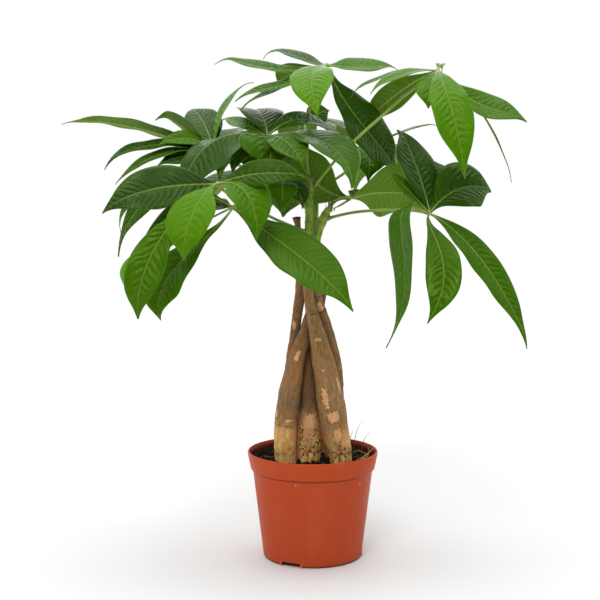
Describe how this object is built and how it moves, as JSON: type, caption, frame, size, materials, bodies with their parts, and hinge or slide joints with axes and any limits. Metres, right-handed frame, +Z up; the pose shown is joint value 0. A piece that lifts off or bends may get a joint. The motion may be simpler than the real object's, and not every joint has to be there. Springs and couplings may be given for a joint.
{
  "type": "potted money tree",
  "caption": "Braided-trunk money tree in a tapered plastic nursery pot: bare woody stems wound together, green shoots and palmate glossy leaves, soil filled to just under the rim",
  "frame": {"origin": "on the floor under the middle of the pot", "axes": "+Z up; the front seen in the picture faces -Y, with +X to its right"},
  "size_m": [0.4175, 0.2792, 0.4656],
  "materials": {
    "pot": "satin",
    "soil": "matte",
    "bark": "matte",
    "shoot": "satin",
    "leaf": "satin"
  },
  "bodies": {
    "root": {"pot": "pot", "soil": "soil", "trunk_front_left": "bark", "trunk_middle": "bark", "trunk_front_right": "bark", "trunk_back_right": "bark", "trunk_back_left": "bark", "shoot_front": "shoot", "shoot_right": "shoot", "shoot_back": "shoot", "leaf_front_left": "leaf", "leaf_low_left": "leaf", "leaf_centre": "leaf", "leaf_top": "leaf", "leaf_upper_right": "leaf", "leaf_right": "leaf", "leaf_inner_right": "leaf", "leaf_upper_left": "leaf", "leaf_young": "leaf", "leaf_back_left": "leaf", "leaf_back_right": "leaf", "leaf_back": "leaf"}
  },
  "joints": []
}
